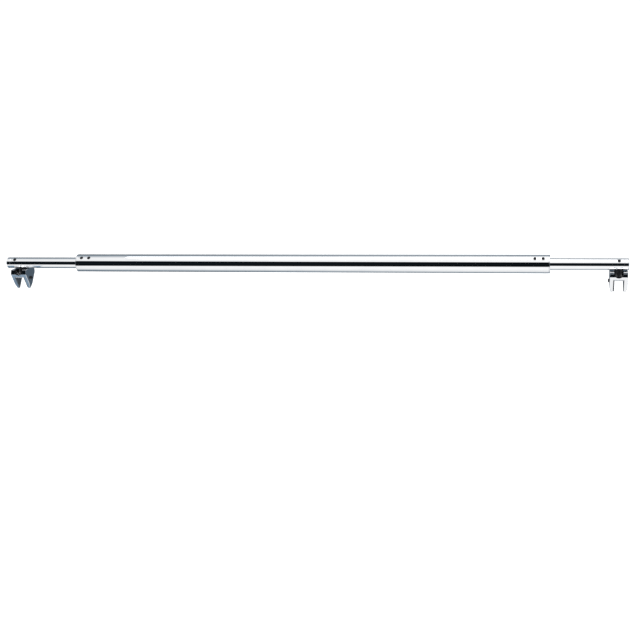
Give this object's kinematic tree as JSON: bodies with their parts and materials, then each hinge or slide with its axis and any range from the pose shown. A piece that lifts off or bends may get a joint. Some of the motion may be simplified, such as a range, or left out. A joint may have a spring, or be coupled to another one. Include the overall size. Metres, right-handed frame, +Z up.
{
  "type": "telescopic glass support bar",
  "caption": "Chromed telescopic bar that braces shower glass: an outer tube, a sliding rod at each end, and a swivelling fork clamp under each rod for a panel's top edge.",
  "frame": {"origin": "middle of the left clamp's glass seat, the face that the top edge of the glass rests against", "axes": "+X along the bar towards the right clamp, +Z up, -Y towards the side that shows the lock screws"},
  "size_m": [0.905, 0.032, 0.0512],
  "materials": {
    "chrome": "mirror chrome plate",
    "satin_metal": "satin plated bush",
    "screw_steel": "black oxide steel",
    "brass": "turned brass",
    "nylon": "natural nylon",
    "black_plastic": "black acetal",
    "rubber": "dark rubber",
    "vinyl": "pale soft vinyl"
  },
  "bodies": {
    "left_clamp": {"left_clamp_body": "chrome", "left_seat_cushion": "vinyl", "left_fixed_pad": "rubber"},
    "left_pressure_pad": {"left_pad_backing": "screw_steel", "left_pad_facing": "rubber"},
    "left_clamp_screw": {"left_clamp_screw": "screw_steel"},
    "left_rod": {"left_rod": "chrome", "left_end_cap": "chrome", "left_anchor_plug": "brass", "left_anchor_screw": "screw_steel", "left_neck_spacer": "black_plastic", "left_clamp_bolt": "screw_steel", "left_guide_rings": "screw_steel"},
    "left_guide": {"left_rod_guide": "nylon"},
    "left_outer_lock_tip": {"left_outer_lock_tip": "nylon"},
    "left_outer_lock_screw": {"left_outer_lock_screw": "screw_steel"},
    "left_inner_lock_tip": {"left_inner_lock_tip": "nylon"},
    "left_inner_lock_screw": {"left_inner_lock_screw": "screw_steel"},
    "right_clamp": {"right_clamp_body": "chrome", "right_seat_cushion": "vinyl", "right_fixed_pad": "rubber"},
    "right_pressure_pad": {"right_pad_backing": "screw_steel", "right_pad_facing": "rubber"},
    "right_clamp_screw": {"right_clamp_screw": "screw_steel"},
    "right_rod": {"right_rod": "chrome", "right_end_cap": "chrome", "right_anchor_plug": "brass", "right_anchor_screw": "screw_steel", "right_neck_spacer": "black_plastic", "right_clamp_bolt": "screw_steel", "right_guide_rings": "screw_steel"},
    "right_guide": {"right_rod_guide": "nylon"},
    "right_outer_lock_tip": {"right_outer_lock_tip": "nylon"},
    "right_outer_lock_screw": {"right_outer_lock_screw": "screw_steel"},
    "right_inner_lock_tip": {"right_inner_lock_tip": "nylon"},
    "right_inner_lock_screw": {"right_inner_lock_screw": "screw_steel"},
    "tube": {"outer_tube": "chrome", "left_end_bush": "satin_metal", "right_end_bush": "satin_metal"}
  },
  "joints": [
    {"name": "left_swivel", "type": "hinge", "parent": "left_clamp", "child": "left_rod", "pos_m": [0, 0, 0.021], "axis": [0, 0, 1], "range_deg": [-90, 90]},
    {"name": "left_roll", "type": "hinge", "parent": "left_rod", "child": "left_guide", "pos_m": [0.2658, 0, 0.021], "axis": [1, 0, 0], "continuous": true},
    {"name": "left_extend", "type": "slide", "parent": "left_guide", "child": "tube", "axis": [1, 0, 0], "range_m": [-0.069, 0.132]},
    {"name": "right_extend", "type": "slide", "parent": "tube", "child": "right_guide", "axis": [1, 0, 0], "range_m": [-0.0704, 0.139]},
    {"name": "right_roll", "type": "hinge", "parent": "right_guide", "child": "right_rod", "pos_m": [0.5952, 0, 0.021], "axis": [1, 0, 0], "continuous": true},
    {"name": "right_swivel", "type": "hinge", "parent": "right_rod", "child": "right_clamp", "pos_m": [0.8694, 0, 0.021], "axis": [0, 0, 1], "range_deg": [-90, 90]},
    {"name": "left_pad_travel", "type": "slide", "parent": "left_clamp", "child": "left_pressure_pad", "axis": [-1, 0, 0], "range_m": [0, 0.0056]},
    {"name": "left_clamp_screw_turn", "type": "hinge", "parent": "left_pressure_pad", "child": "left_clamp_screw", "pos_m": [0.01, 0, -0.0013], "axis": [-1, 0, 0], "range_deg": [0, 2521]},
    {"name": "left_outer_lock_travel", "type": "slide", "parent": "tube", "child": "left_outer_lock_tip", "axis": [0, -0.7071, 0.7071], "range_m": [-0.0002, 0.0024]},
    {"name": "left_outer_lock_turn", "type": "hinge", "parent": "left_outer_lock_tip", "child": "left_outer_lock_screw", "pos_m": [0.0991, -0.00707, 0.02807], "axis": [0, -0.7071, 0.7071], "range_deg": [-91, 1081]},
    {"name": "left_inner_lock_travel", "type": "slide", "parent": "tube", "child": "left_inner_lock_tip", "axis": [0, -0.7071, 0.7071], "range_m": [-0.0002, 0.0024]},
    {"name": "left_inner_lock_turn", "type": "hinge", "parent": "left_inner_lock_tip", "child": "left_inner_lock_screw", "pos_m": [0.1104, -0.00707, 0.02807], "axis": [0, -0.7071, 0.7071], "range_deg": [-91, 1081]},
    {"name": "right_pad_travel", "type": "slide", "parent": "right_clamp", "child": "right_pressure_pad", "axis": [1, 0, 0], "range_m": [0, 0.0056]},
    {"name": "right_clamp_screw_turn", "type": "hinge", "parent": "right_pressure_pad", "child": "right_clamp_screw", "pos_m": [0.8594, 0, -0.0013], "axis": [1, 0, 0], "range_deg": [0, 2521]},
    {"name": "right_outer_lock_travel", "type": "slide", "parent": "tube", "child": "right_outer_lock_tip", "axis": [0, -0.7071, 0.7071], "range_m": [-0.0002, 0.0024]},
    {"name": "right_outer_lock_turn", "type": "hinge", "parent": "right_outer_lock_tip", "child": "right_outer_lock_screw", "pos_m": [0.7689, -0.00707, 0.02807], "axis": [0, -0.7071, 0.7071], "range_deg": [-91, 1081]},
    {"name": "right_inner_lock_travel", "type": "slide", "parent": "tube", "child": "right_inner_lock_tip", "axis": [0, -0.7071, 0.7071], "range_m": [-0.0002, 0.0024]},
    {"name": "right_inner_lock_turn", "type": "hinge", "parent": "right_inner_lock_tip", "child": "right_inner_lock_screw", "pos_m": [0.7576, -0.00707, 0.02807], "axis": [0, -0.7071, 0.7071], "range_deg": [-91, 1081]}
  ],
  "couplings": [
    {"joint": "left_clamp_screw_turn", "follows": "left_pad_travel", "rad_per_m": 7854},
    {"joint": "left_outer_lock_turn", "follows": "left_outer_lock_travel", "rad_per_m": 7854},
    {"joint": "left_inner_lock_turn", "follows": "left_inner_lock_travel", "rad_per_m": 7854},
    {"joint": "right_clamp_screw_turn", "follows": "right_pad_travel", "rad_per_m": 7854},
    {"joint": "right_outer_lock_turn", "follows": "right_outer_lock_travel", "rad_per_m": 7854},
    {"joint": "right_inner_lock_turn", "follows": "right_inner_lock_travel", "rad_per_m": 7854}
  ]
}
